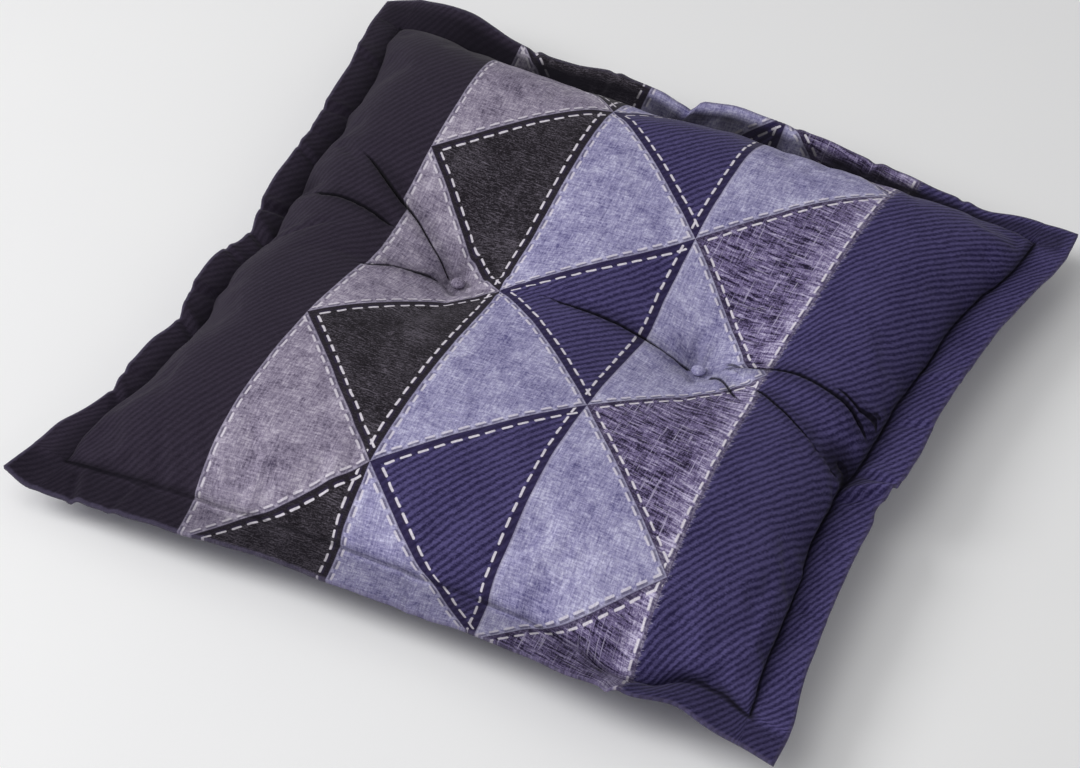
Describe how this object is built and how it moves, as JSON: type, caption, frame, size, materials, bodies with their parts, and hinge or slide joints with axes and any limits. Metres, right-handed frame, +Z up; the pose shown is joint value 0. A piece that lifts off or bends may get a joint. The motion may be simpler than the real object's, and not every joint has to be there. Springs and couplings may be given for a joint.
{
  "type": "ottoman cushion",
  "caption": "Square filled ottoman or stool cushion with a flat flange all round and buttoned tufts.",
  "frame": {"origin": "bottom centre of the box round the cushion as it lies on its back, flange corner to flange corner", "axes": "+Z up out of the printed face, +Y away from the camera's side towards the back edge, +X along the line from the left tuft to the right one"},
  "size_m": [0.5015, 0.5053, 0.0783],
  "materials": {
    "print_cloth": "printed cotton, matt",
    "button_cloth_left": "printed cotton, matt",
    "button_cloth_right": "printed cotton, matt",
    "button_cloth_under": "printed cotton, matt"
  },
  "bodies": {
    "root": {"cushion": "print_cloth", "button_left": "button_cloth_left", "button_right": "button_cloth_right", "button_under_left": "button_cloth_under", "button_under_right": "button_cloth_under"}
  },
  "joints": []
}
